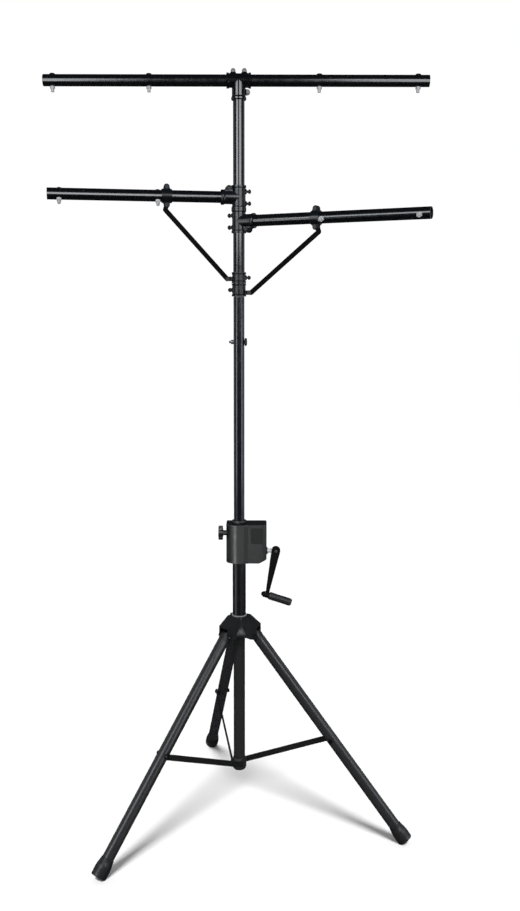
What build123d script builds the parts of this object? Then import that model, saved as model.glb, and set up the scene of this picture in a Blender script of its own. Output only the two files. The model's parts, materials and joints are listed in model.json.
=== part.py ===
from build123d import *
import os
from math import sin, cos, tan, radians, degrees, pi, sqrt, atan2, acos

# Crank lighting stand: folding tripod, geared crank column, T-bar and two braced side arms.
# Millimetres, +Z up. Origin: on the floor, on the axis of the mast. Heights below are drawn from a
# datum 9.2 mm under the boots; everything is set down on the floor when it is written. +X runs along the crossbar
# towards the crank side; the front of the stand faces -Y.

# ---------------- driving dimensions ----------------
floor_z = 9.2                  # floor above the drawing datum
crossbar_len = 1200.0
crossbar_off = -7.4            # the crossbar sits a little off centre in its tee
kit_od = 36.0                  # crossbar, arm tubes and T-bar mast
kit_wall = 2.0
bolt_free = 10.0               # free thread of a light-fixing bolt, past its nut
z_crossbar = 2451.7            # crossbar axis in the lowered state
z_left_arm = 2098.2
z_right_arm = 2024.8
left_azimuth = 188.94          # direction each side arm points in, seen from above
right_azimuth = -25.37
left_reach = 593.6             # mast axis to arm end
right_reach = 624.5

lift_od, lift_id = 35.0, 30.6  # geared lift tube
top_od, top_id = 30.0, 26.4    # inner telescoping tube
post_od, post_id = 38.5, 35.6  # lower post, slides out when the tripod folds
main_od, main_id = 44.0, 39.1  # fixed column tube
z_lift_top = 1788.0
z_lift_bottom = 250.0
z_mast_bottom = 1789.0
z_clamp = 1644.6               # clamp bolt and guide pin of the inner tube
z_top_bottom = 1170.0
z_top_end = 1950.0
z_main_bottom = 664.0
z_main_top = 1043.0
z_post_bottom = 203.0
z_post_top = 1000.0

z_pivot = 672.0                # leg pivots
r_pivot = 60.0
leg_tilt = 51.48               # leg below the horizontal when open
leg_len = 828.0                # pivot to the end of the boot
leg_od, leg_wall = 37.5, 1.6
boot_r = 24.6
strut_at = 425.0               # pivot to strut bolt along the leg
leg_azimuths = {"left": -137.57, "right": -17.57, "rear": 102.43}
strut_in_r, strut_in_z = 12.0, 213.0   # strut's inner pivot, radial and height
strut_lat0, strut_lat1 = 21.0, 24.0    # strut plate, sideways from the mast axis
strut_h = 19.0

rack_pitch = 3.0 * pi          # window pitch of the lift tube's rack
rack_window_h, rack_window_w = 5.4, 9.6
pinion_y, pinion_z = 28.7, 975.0
crank_y = 20.0
gear_m = 1.25
gear_teeth, crank_teeth = 28, 14
gear_cd = 26.30
crank_z = pinion_z - sqrt(gear_cd**2 - (pinion_y - crank_y)**2)
crank_pin_x = 122.4
crank_lean = 11.0              # arm leans in towards the mast, degrees
crank_len = 155.5
grip_slope = 18.0              # grip droops from the horizontal, degrees
knob_z = 1015.8

# ---------------- helpers ----------------
MINZ = (Align.CENTER, Align.CENTER, Align.MIN)

def rod(p0, p1, r):
    a, b = Vector(*p0), Vector(*p1)
    return Plane(origin=a, z_dir=(b - a)) * Cylinder(r, (b - a).length, align=MINZ)

def cone(p0, p1, r0, r1):
    a, b = Vector(*p0), Vector(*p1)
    return Plane(origin=a, z_dir=(b - a)) * Cone(r0, r1, (b - a).length, align=MINZ)

def tube(p0, p1, ro, ri):
    return rod(p0, p1, ro) - rod(p0, p1, ri)

def hexrod(p0, p1, af):
    a, b = Vector(*p0), Vector(*p1)
    d = b - a
    return Plane(origin=a, z_dir=d) * extrude(RegularPolygon(af / 2, 6, major_radius=False), d.length)

def block(x0, x1, y0, y1, z0, z1):
    return Pos((x0 + x1) / 2, (y0 + y1) / 2, (z0 + z1) / 2) * Box(x1 - x0, y1 - y0, z1 - z0)

def turned(points, axis_plane):
    # profile of (radius, height) points revolved about the plane's z direction
    face = make_face(Polyline(*[(r, 0, h) for r, h in points], close=True))
    return axis_plane * revolve(face, Axis.Z)

def local(az):
    # local frame: x radial at the azimuth, y sideways (counter-clockwise from above), z up
    return Plane(origin=(0, 0, 0), x_dir=(cos(radians(az)), sin(radians(az)), 0), z_dir=(0, 0, 1))

def solids_of(s):
    return list(s.solids())

def dome_bolt(p0, p_head, p_end, r_shank, r_head):
    # shank from p0 to p_head, domed head from p_head to p_end
    a, h, e = Vector(*p0), Vector(*p_head), Vector(*p_end)
    L = (e - h).length
    pts = [(0, 0), (r_head, 0), (r_head, L * 0.35), (r_head * 0.86, L * 0.68), (r_head * 0.5, L * 0.92), (0, L)]
    return rod(a, h, r_shank) + turned(pts, Plane(origin=h, z_dir=(e - h)))

def hex_bolt(p0, p_head, p_end, r_shank, af):
    return rod(p0, p_head, r_shank) + hexrod(p_head, p_end, af)

def gear2d(m, n, pa, backlash, steps=5):
    # involute outline, tooth centred on +X
    rp, rb = m * n / 2, m * n / 2 * cos(radians(pa))
    ra, rf = rp + m * 0.95, rp - m * 1.2
    inv = lambda t: tan(t) - t
    half = pi / (2 * n) + inv(radians(pa)) - backlash / (2 * rp)
    flank = []
    r0 = max(rb, rf)
    for i in range(steps + 1):
        r = r0 + (ra - r0) * i / steps
        flank.append((r, half - inv(acos(min(1.0, rb / r)))))
    if rf < rb:
        flank = [(rf, flank[0][1])] + flank
    pts = []
    for k in range(n):
        c = 2 * pi * k / n
        for r, t in flank:
            pts.append((r * cos(c - t), r * sin(c - t)))
        for r, t in reversed(flank):
            pts.append((r * cos(c + t), r * sin(c + t)))
    return pts

def gear_x(pts, x0, x1, y, z, angle):
    # gear with its axis along X, first tooth at `angle` in the Y-Z plane (0 = +Y, 90 = +Z)
    face = make_face(Polyline(*[(a, b) for a, b in pts], close=True))
    pl = Plane(origin=(x0, y, z), x_dir=(0, cos(radians(angle)), sin(radians(angle))), z_dir=(1, 0, 0))
    return pl * extrude(face, x1 - x0)

parts = {}
def put(name, shape):
    parts[name] = shape

# ---------------- fixed column ----------------
main = tube((0, 0, z_main_bottom), (0, 0, z_main_top), main_od / 2, main_id / 2)
main -= block(-8, 8, 0, 40, pinion_z - 20, pinion_z + 20)                      # pinion window
main -= rod((-40, 0, knob_z), (0, 0, knob_z), 5.3)                             # lock screw hole
put("main_tube", main)

bush = tube((0, 0, 1006), (0, 0, z_main_top), 19.5, lift_od / 2 + 0.06)
bush -= rod((-40, 0, knob_z), (0, 0, knob_z), 5.3)
put("guide_bush", bush)

# ---------------- tripod hub ----------------
cheek_in, cheek_out = 19.3, 23.4
hub = Pos(0, 0, 661) * Cylinder(29.5, 64, align=MINZ)
hub += turned([(0, 725), (29.5, 725), (27.0, 733.5), (0, 733.5)], Plane.XY)
for az in leg_azimuths.values():
    L = local(az)
    side = [(0, 733.5), (30.9, 733.5), (68.5, 704.7), (69.0, 682), (65, 661.5), (48, 659.5), (29, 664), (0, 664)]
    for s0, s1 in ((-cheek_out, -cheek_in), (cheek_in, cheek_out)):
        f = make_face(Polyline(*[(x, s0, z) for x, z in side], close=True))
        hub += L * extrude(f, s1 - s0, dir=(0, 1, 0))
    roof = [(0, 733.5), (30.9, 733.5), (68.5, 704.7), (68.5, 699.5), (30, 729), (0, 729)]
    f = make_face(Polyline(*[(x, -cheek_out, z) for x, z in roof], close=True))
    hub += L * extrude(f, 2 * cheek_out, dir=(0, 1, 0))
hub -= rod((0, 0, 640), (0, 0, 760), main_od / 2 + 0.05)
for az in leg_azimuths.values():
    hub -= local(az) * rod((r_pivot, -40, z_pivot), (r_pivot, 40, z_pivot), 4.08)
# clear the pocket for each leg's rounded top
for az in leg_azimuths.values():
    hub -= local(az) * block(38.5, 70, -cheek_in, cheek_in, 640, 697)
    hub -= local(az) * block(30.2, 38.5, -cheek_in, cheek_in, 640, 704)
put("tripod_hub", hub)
put("hub_ring", tube((0, 0, 733.5), (0, 0, 736.5), 25.2, main_od / 2 + 0.05))

# ---------------- legs ----------------
ta = radians(leg_tilt)
for name, az in leg_azimuths.items():
    L = local(az)
    def P(s, lat=0.0, up=0.0):
        # point on the leg: s along it from the pivot, lat sideways, up square to it
        return (r_pivot + s * cos(ta) + up * sin(ta), lat, z_pivot - s * sin(ta) + up * cos(ta))
    # leg tube
    t = tube(P(18), P(leg_len - 8), leg_od / 2, leg_od / 2 - leg_wall)
    t -= rod(P(strut_at, -30), P(strut_at, 30), 4.05)
    put("leg_%s" % name, L * t)
    # knuckle: rounded eye across the hub's cheeks, with a plug in the tube
    k = rod(P(0, -19.0), P(0, 19.0), 18.0)
    k += rod(P(0), P(17.9), 18.3)
    k += rod(P(17.0), P(62), leg_od / 2 - leg_wall - 0.05)
    k -= rod(P(0, -40), P(0, 40), 4.08)
    k = k & rod(P(-30), P(80), 19.0)
    put("leg_knuckle_%s" % name, L * k)
    # rubber boot, flared, with a small worn flat on the floor
    lr = leg_od / 2
    pts = [(0, leg_len - 6.5), (lr + 0.05, leg_len - 6.5), (lr + 0.05, leg_len - 58), (lr + 1.6, leg_len - 57), (lr + 2.6, leg_len - 50),
           (boot_r - 0.6, leg_len - 38), (boot_r, leg_len - 30), (boot_r, leg_len - 1.6), (boot_r - 1.6, leg_len), (0, leg_len)]
    axis_pl = Plane(origin=P(0), z_dir=(cos(ta), 0, -sin(ta)))
    b = turned([(r, h) for r, h in pts], axis_pl)
    b -= block(300, 1200, -60, 60, -60, floor_z)
    put("foot_%s" % name, L * b)
    # strut bolt: head over the strut, spacer between leg and strut, nut on the far side
    b = rod(P(strut_at, -26), P(strut_at, 24.2), 4.0)
    b += rod(P(strut_at, 18.85), P(strut_at, 20.8), 8.0)
    b += Plane(origin=P(strut_at, 24.2), z_dir=(0, 1, 0)) * Cone(7.5, 5.0, 4.3, align=MINZ)
    b += hexrod(P(strut_at, -25.2), P(strut_at, -18.8), 13)
    put("strut_bolt_%s" % name, L * b)
    # strut: flat bar on edge with rounded ends and an integral rivet head at the collar end
    ax, az_ = P(strut_at)[0], P(strut_at)[2]
    dx, dz = strut_in_r - ax, strut_in_z - az_
    sl = sqrt(dx * dx + dz * dz)
    ang = degrees(atan2(dz, dx))
    pl = Plane(origin=(ax, strut_lat0, az_), x_dir=(cos(radians(ang)), 0, sin(radians(ang))), z_dir=(0, -1, 0))
    bar = extrude(pl * Pos(sl / 2, 0) * SlotCenterToCenter(sl, strut_h), strut_lat1 - strut_lat0, dir=(0, 1, 0))
    bar -= rod((ax, 10, az_), (ax, 40, az_), 4.08)
    bar += Plane(origin=(strut_in_r, strut_lat1, strut_in_z), z_dir=(0, 1, 0)) * Cone(6.5, 4.5, 3.2, align=MINZ)
    put("strut_%s" % name, L * bar)

bolts = []
for az in leg_azimuths.values():
    L = local(az)
    b = rod((r_pivot, -cheek_out, z_pivot), (r_pivot, cheek_out, z_pivot), 4.0)
    b += Plane(origin=(r_pivot, cheek_out, z_pivot), z_dir=(0, 1, 0)) * Cone(7.5, 5.5, 4.0, align=MINZ)
    b += hexrod((r_pivot, -cheek_out - 5.5, z_pivot), (r_pivot, -cheek_out, z_pivot), 13)
    bolts.append(L * b)
put("leg_pivot_bolts", Compound(children=[s for b in bolts for s in solids_of(b)]))

# ---------------- lower post and strut collar ----------------
post = tube((0, 0, z_post_bottom + 14), (0, 0, z_post_top), post_od / 2, post_id / 2)
post -= block(-7, 7, 0, 40, pinion_z - 21, z_post_top + 1)
put("lower_post", post)
collar = turned([(0, 187), (14, 187), (19.0, 189.5), (22.6, 194), (24.0, 201), (24.0, 224), (21.0, 231), (0, 231)], Plane.XY)
for az in leg_azimuths.values():
    collar -= local(az) * block(-60, 60, 20.8, 60, 150, 260)
collar -= rod((0, 0, z_post_bottom + 14), (0, 0, 240), post_od / 2 + 0.04)
collar -= rod((0, 0, 195), (0, 0, 240), 14.0)
for az in leg_azimuths.values():
    lug = block(-2, strut_in_r + 9, 12, 20.8, strut_in_z - 9, strut_in_z + 9)
    lug = fillet(lug.edges().filter_by(Axis.Y).group_by(Axis.X)[-1], 8.5)
    collar += local(az) * lug
collar -= rod((0, 0, z_post_bottom + 14), (0, 0, 240), post_od / 2 + 0.04)
collar -= rod((0, 0, 195), (0, 0, 240), 14.0)
put("spreader_collar", collar)

# ---------------- crank box ----------------
bx0, bx1, by0, by1, bz0, bz1 = -43.0, 91.0, -29.0, 52.0, 917.0, 1047.0
def outline(off):
    # plan of the box: rounded over the mast at the front left, flat towards the right
    x0, x1, y0, y1 = bx0 + off, bx1 - off, by0 + off, by1
    r = 36.0 - off
    rr = 12.0 - off
    e = [Line((x0, y1), (x0, y0 + r)),
         RadiusArc((x0, y0 + r), (x0 + r, y0), -r),
         Line((x0 + r, y0), (16, y0)),
         Line((16, y0), (30, y0 + 4)),
         Line((30, y0 + 4), (x1 - rr, y0 + 4)),
         RadiusArc((x1 - rr, y0 + 4), (x1, y0 + 4 + rr), -rr),
         Line((x1, y0 + 4 + rr), (x1, y1)),
         Line((x1, y1), (x0, y1))]
    return make_face(Wire(e))
wall = 3.0
outer = Pos(0, 0, bz0) * extrude(outline(0), bz1 - bz0)
cut = make_face(Polyline((66, bz0 - 1, 0), (66, bz0, 0), (bx1, bz0 + 13, 0), (bx1 + 1, bz0 + 13, 0), (bx1 + 1, bz0 - 1, 0), close=True))
chamf = Plane(origin=(0, 60, 0), x_dir=(1, 0, 0), z_dir=(0, -1, 0)) * extrude(cut, 120, dir=(0, 0, 1))
outer -= chamf
outer = fillet(outer.edges().filter_by_position(Axis.Z, bz1 - 0.1, bz1 + 0.1).filter_by_position(Axis.Y, by0 - 1, by1 - 1), 3.5)
inner = Pos(0, 0, bz0 + wall) * extrude(outline(wall), bz1 - bz0 - 2 * wall)
cut2 = make_face(Polyline((60, bz0 - 1, 0), (60, bz0 + wall, 0), (bx1 - wall, bz0 + 13 + wall + 3, 0), (bx1 + 1, bz0 + 13 + wall + 3, 0), (bx1 + 1, bz0 - 1, 0), close=True))
chamf2 = Plane(origin=(0, 60, 0), x_dir=(1, 0, 0), z_dir=(0, -1, 0)) * extrude(cut2, 120, dir=(0, 0, 1))
inner -= chamf2
house = outer - inner
# recessed panel beside the mast
panel = block(38, 80, by0 + 3, by0 + 5.6, 984, 1036)
house -= fillet(panel.edges().filter_by(Axis.Y), 5)
# bosses: lock screw, crank shaft and pinion shaft
house += rod((bx0 - 8, 0, knob_z), (bx0 + 4, 0, knob_z), 8.5)
house += rod((bx1 - 9, crank_y, crank_z), (bx1 + 3.0, crank_y, crank_z), 12.5)
house += rod((bx0 + 1.5, pinion_y, pinion_z), (bx0 + 9, pinion_y, pinion_z), 10.0)
house += rod((bx1 - 9, pinion_y, pinion_z), (bx1 - 1.5, pinion_y, pinion_z), 10.0)
# holes
house -= rod((0, 0, 900), (0, 0, z_main_top + 0.05), main_od / 2 + 0.05)
house -= rod((0, 0, 1030), (0, 0, 1060), 18.3)
house -= rod((-60, 0, knob_z), (-25, 0, knob_z), 5.4)
house -= rod((bx1 - 12, crank_y, crank_z), (bx1 + 8, crank_y, crank_z), 9.0)
house -= rod((bx0 + 2.9, pinion_y, pinion_z), (bx0 + 12, pinion_y, pinion_z), 8.0)
house -= rod((bx1 - 12, pinion_y, pinion_z), (bx1 - 2.9, pinion_y, pinion_z), 8.0)
# screw posts for the rear cover
screw_xz = [(bx0 + 7, bz0 + 7), (bx0 + 7, bz1 - 7), (bx1 - 7, bz0 + 25), (bx1 - 7, bz1 - 7)]
for sx, sz in screw_xz:
    house += rod((sx, by1 - 16, sz), (sx, by1 - 3.2, sz), 4.8)
    house -= rod((sx, by1 - 14, sz), (sx, by1 + 2, sz), 2.05)
fs0 = Vector(-7, by0 + 36, 930)                 # small screw in the rounded front
fs1 = Vector(-0.667, -0.745, 0)
house -= rod(tuple(fs0 + fs1 * 28), tuple(fs0 + fs1 * 40), 2.0)
put("gearbox_housing", house)

cover = block(bx0 + wall + 0.1, bx1 - wall - 0.1, by1 - 3.0, by1, bz0 + wall + 0.1, bz1 - wall - 0.1)
cover -= chamf2
cover = fillet(cover.edges().filter_by(Axis.Y), 2.0)
cover += rod((10, by1 - 0.5, 960), (10, by1 + 2.0, 960), 16)
for sx, sz in screw_xz:
    cover -= rod((sx, by1 - 5, sz), (sx, by1 + 3, sz), 2.2)
put("gearbox_cover", cover)

scr = []
for sx, sz in screw_xz:
    s = rod((sx, by1 - 13, sz), (sx, by1 + 0.1, sz), 2.0)
    s += Plane(origin=(sx, by1, sz), z_dir=(0, 1, 0)) * Cone(4.0, 2.8, 2.2, align=MINZ)
    scr += solids_of(s)
s = rod(tuple(fs0 + fs1 * 30), tuple(fs0 + fs1 * 36.4), 1.95)
s += Plane(origin=fs0 + fs1 * 36.2, z_dir=fs1) * Cone(4.2, 3.0, 2.2, align=MINZ)
scr += solids_of(s)
put("housing_screws", Compound(children=scr))

# ---------------- gear train ----------------
pin_r0, pin_tip = 9.9, 13.6
pts = []
for k in range(8):
    c = 2 * pi * k / 8
    for r, t in ((pin_r0, -0.200), (12.0, -0.186), (pin_tip, -0.146), (pin_tip, 0.146), (12.0, 0.186), (pin_r0, 0.200)):
        pts.append((r * cos(c + t), r * sin(c + t)))
rack_pin = gear_x(pts, -4.2, 4.2, pinion_y, pinion_z, 180)
shaft = rod((bx0 + 3.2, pinion_y, pinion_z), (bx1 - 3.2, pinion_y, pinion_z), 5.0)
put("rack_pinion", rack_pin + shaft)
link = degrees(atan2(crank_z - pinion_z, crank_y - pinion_y))
gear = gear_x(gear2d(gear_m, gear_teeth, 25, 0.12), 57, 67, pinion_y, pinion_z, link)
gear += rod((51, pinion_y, pinion_z), (72, pinion_y, pinion_z), 10)
gear -= rod((40, pinion_y, pinion_z), (80, pinion_y, pinion_z), 5.02)
put("reduction_gear", gear)
cgear = gear_x(gear2d(gear_m, crank_teeth, 25, 0.12), 56.5, 67.5, crank_y, crank_z, link + 180 + 180.0 / crank_teeth)
cs = rod((50, crank_y, crank_z), (104, crank_y, crank_z), 6.5)
cs += block(103.5, crank_pin_x, crank_y - 4.0, crank_y + 4.0, crank_z - 8, crank_z + 8)
cs += rod((crank_pin_x, crank_y - 4.0, crank_z), (crank_pin_x, crank_y + 4.0, crank_z), 8.0)
cs += rod((94.3, crank_y, crank_z), (98, crank_y, crank_z), 10.0)
cs -= rod((crank_pin_x, crank_y - 20, crank_z), (crank_pin_x, crank_y + 20, crank_z), 3.06)
put("crank_shaft", cs + cgear)

bushes = []
for b in (tube((bx1 - 9, crank_y, crank_z), (bx1 + 3, crank_y, crank_z), 8.98, 6.56),
          tube((bx0 + 3, pinion_y, pinion_z), (bx0 + 9, pinion_y, pinion_z), 7.98, 5.06),
          tube((bx1 - 9, pinion_y, pinion_z), (bx1 - 3, pinion_y, pinion_z), 7.98, 5.06)):
    bushes += solids_of(b)
put("shaft_bushes", Compound(children=bushes))

# ---------------- crank arm and grip ----------------
# crank frame: origin at the fold pin, x out along the shaft, y across, z up; arm hangs along d
lean = radians(crank_lean)
d = Vector(-sin(lean), 0, -cos(lean))
n = Vector(cos(lean), 0, -sin(lean))
O = Vector(crank_pin_x, crank_y, crank_z)
arm_pl = Plane(origin=O + Vector(0, 8.0, 0), x_dir=d, z_dir=(0, -1, 0))
# outline in (along, across): rounded top, straight taper to a small eye
w0, w1 = 14.6, 5.4
outl = Polygon((0, w0), (crank_len, w1), (crank_len, -w1), (0, -w0), align=None)
arm = extrude(arm_pl * outl, 16.0, dir=(0, -1, 0))
arm += rod(tuple(O + Vector(0, -8, 0)), tuple(O + Vector(0, 8, 0)), w0)
E = O + d * crank_len
arm += rod(tuple(E + Vector(0, -8, 0)), tuple(E + Vector(0, 8, 0)), w1)
# thin the lower part and slot the top over the shaft's tongue
front = Plane(origin=O, x_dir=d, z_dir=(0, -1, 0))
thin = [(38, 8.5), (crank_len + 20, 8.5), (crank_len + 20, 5.2), (60, 5.2)]
for sgn in (1, -1):
    f = make_face(Polyline(*[tuple(O + d * a + n * -40 + Vector(0, sgn * b, 0)) for a, b in thin], close=True))
    arm -= extrude(f, 80, dir=tuple(n))
slot = Plane(origin=O, x_dir=d, z_dir=(0, -1, 0)) * Box(40, 60, 8.5)
arm -= slot
arm -= rod(tuple(O + Vector(0, -20, 0)), tuple(O + Vector(0, 20, 0)), 3.03)
g = Vector(cos(radians(grip_slope)), 0, -sin(radians(grip_slope)))
arm += rod(tuple(E - g * 7.2), tuple(E + g * 7.4), 10.2)      # boss in line with the grip
arm -= rod(tuple(E - g * 20), tuple(E + g * 20), 3.05)
put("crank_arm", arm)
put("crank_pin", rod(tuple(O + Vector(0, -8.0, 0)), tuple(O + Vector(0, 8.0, 0)), 3.0)
    + rod(tuple(O + Vector(0, -10.2, 0)), tuple(O + Vector(0, -8.0, 0)), 4.6)
    + rod(tuple(O + Vector(0, 8.0, 0)), tuple(O + Vector(0, 10.2, 0)), 4.6))
# grip pin: riveted through the arm's eye, with the pointed cap on the inner side
gp = Plane(origin=E, z_dir=g)
put("grip_pin", turned([(0, -20), (4.4, -19.4), (8.0, -15.0), (10.0, -10.5), (10.2, -7.4), (3.0, -7.4), (3.0, 84.0), (5.5, 84.0), (5.5, 86.0), (0, 86.0)], gp))
put("crank_grip", turned([(3.07, 7.6), (11.6, 7.6), (12.7, 10.5), (12.3, 40), (12.7, 74), (12.3, 82), (10.8, 84.8), (10.4, 86.3), (5.7, 86.3), (5.7, 83.7), (3.07, 83.7)], gp))

# ---------------- lock knob ----------------
kx0, kx1 = -68.5, -54.0
kn = Plane(origin=(kx0, 0, knob_z), z_dir=(1, 0, 0)) * Cylinder(23.6, kx1 - kx0, align=MINZ)
kn = fillet(kn.edges().filter_by(GeomType.CIRCLE), 2.0)
for k in range(8):
    a = radians(45 * k + 22.5)
    kn -= rod((kx0 - 1, 26.9 * cos(a), knob_z + 26.9 * sin(a)), (kx1 + 1, 26.9 * cos(a), knob_z + 26.9 * sin(a)), 6.0)
kn += cone((kx1 - 0.5, 0, knob_z), (bx0 - 8.4, 0, knob_z), 11.0, 9.4)
kn -= rod((kx0 + 4, 0, knob_z), (-40, 0, knob_z), 5.02)
put("lock_knob", kn)
put("lock_screw", rod((kx0 + 4, 0, knob_z), (-17.85, 0, knob_z), 5.0))

# ---------------- lift tube with its rack ----------------
lift = tube((0, 0, z_lift_bottom), (0, 0, z_lift_top), lift_od / 2, lift_id / 2)
n_lo = -int((pinion_z - 350) / rack_pitch)
wins = [Pos(0, 17, pinion_z + k * rack_pitch) * Box(rack_window_w, 6, rack_window_h) for k in range(n_lo, 4)]
lift -= wins
lift -= rod((0, 0, z_clamp), (30, 0, z_clamp), 5.05)
lift -= rod((-30, 0, z_clamp), (0, 0, z_clamp), 4.05)
put("lift_tube", lift)
put("lift_tube_foot", turned([(0, z_lift_bottom - 4), (16.5, z_lift_bottom - 4), (17.4, z_lift_bottom - 2), (17.4, z_lift_bottom), (15.2, z_lift_bottom), (15.2, z_lift_bottom + 22), (12, z_lift_bottom + 22), (12, z_lift_bottom + 1), (0, z_lift_bottom + 1)], Plane.XY))
put("guide_pin", rod((-15.4, 0, z_clamp), (-22, 0, z_clamp), 4.0) + rod((-17.8, 0, z_clamp), (-25.5, 0, z_clamp), 7.0) + rod((-25, 0, z_clamp), (-32.0, 0, z_clamp), 4.0))
cb = rod((15.4, 0, z_clamp), (19, 0, z_clamp), 5.0)
cb += turned([(0, 0), (8.5, 0), (12.5, 1.5), (12.8, 5.0), (11.0, 7.2), (6.0, 8.2), (0, 8.5)], Plane(origin=(17.9, 0, z_clamp), z_dir=(1, 0, 0)))
put("mast_clamp_bolt", cb)

# ---------------- inner telescoping tube ----------------
put("top_section_tube", tube((0, 0, z_top_bottom), (0, 0, z_top_end), top_od / 2, top_id / 2))
put("top_section_foot", turned([(0, z_top_bottom - 5), (14.9, z_top_bottom - 5), (15.1, z_top_bottom - 4), (15.1, z_top_bottom - 0.0), (13.1, z_top_bottom), (13.1, z_top_bottom + 20), (10, z_top_bottom + 20), (10, z_top_bottom), (0, z_top_bottom)], Plane.XY))

# ---------------- T-bar ----------------
put("t_bar_mast", tube((0, 0, z_mast_bottom), (0, 0, z_crossbar - kit_od / 2 - 1.5), kit_od / 2, top_od / 2 + 0.08))

def tee_body(kind):
    # collar along the main axis (local z) with beads, branch along +x
    h0, h1, ri, ro, bead = kind
    t = turned([(0, -h0), (ro + 2.2, -h0), (ro + 2.2, -h0 + 6), (ro, -h0 + 9), (ro, h0 - 9), (ro + 2.2, h0 - 6), (ro + 2.2, h0), (0, h0)], Plane.XY)
    t += rod((0, 0, 0), (h1 - 8, 0, 0), ro)
    t += turned([(0, h1 - 12), (ro, h1 - 12), (ro + 2.4, h1 - 7), (ro + 2.4, h1 - 2), (ro + 1.0, h1), (0, h1)], Plane(origin=(0, 0, 0), x_dir=(0, 1, 0), z_dir=(1, 0, 0)))
    return t

top_half, top_branch = 38.0, 58.5
set_gap = 17.5                 # set bolts either side of the branch
tt = tee_body((top_half, top_branch, kit_od / 2 + 0.1, 21.3, 2.2))
# bosses for the set bolts: two opposite the branch, one on the side of the branch
for s in (-set_gap, set_gap):
    tt += cone((-19, 0, s), (-24.6, 0, s), 12.5, 8.4)
tt += rod((35, 0, 19), (35, 0, 24.0), 9.4)
tt -= rod((0, 0, -50), (0, 0, 50), kit_od / 2 + 0.05)
tt -= rod((18.5, 0, 0), (70, 0, 0), kit_od / 2 + 0.05)
for s in (-set_gap, set_gap):
    tt -= rod((0, 0, s), (-40, 0, s), 4.05)
tt -= rod((35, 0, 0), (35, 0, 40), 4.05)
# local z -> +X, local x -> -Z
top_pl = Plane(origin=(0, 0, z_crossbar), x_dir=(0, 0, -1), z_dir=(1, 0, 0))
put("top_tee", top_pl * tt)
tb = []
for s in (-set_gap, set_gap):
    tb += solids_of(top_pl * dome_bolt((-18.4, 0, s), (-24.7, 0, s), (-37.5, 0, s), 4.0, 7.6))

xb0, xb1 = crossbar_off - crossbar_len / 2, crossbar_off + crossbar_len / 2
cross = tube((xb0, 0, z_crossbar), (xb1, 0, z_crossbar), kit_od / 2, kit_od / 2 - kit_wall)
bolt_x = [crossbar_off + s for s in (-572, -272, 258, 565)]
for bxx in bolt_x:
    cross -= rod((bxx, 0, z_crossbar - 40), (bxx, 0, z_crossbar + 40), 5.05)
put("crossbar", cross)

def light_bolt(c, dirv):
    # light-fixing bolt across a bar: low domed head on one side, nut and free thread on the other
    c, dv = Vector(*c), Vector(*dirv).normalized()
    h = kit_od / 2
    b = rod(tuple(c - dv * (h + 1.0)), tuple(c + dv * (h + 7.0 + bolt_free)), 5.0)
    b += turned([(0, 0), (9.0, 0), (8.6, 1.3), (6.6, 2.8), (3.4, 3.6), (0, 3.8)], Plane(origin=c - dv * (h + 0.02), z_dir=dv * -1))
    b += hexrod(tuple(c + dv * (h + 0.02)), tuple(c + dv * (h + 7.0)), 14)
    return b
cbolts = []
for bxx in bolt_x:
    cbolts += solids_of(light_bolt((bxx, 0, z_crossbar), (0, 0, -1)))
put("crossbar_bolts", Compound(children=cbolts))

# the branch's set bolt goes in from the +X side
tb_side = dome_bolt((18.4, 0, z_crossbar - 35), (24.05, 0, z_crossbar - 35), (35.5, 0, z_crossbar - 35), 4.0, 9.2)
put("top_tee_bolts", Compound(children=tb + solids_of(tb_side)))

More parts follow.
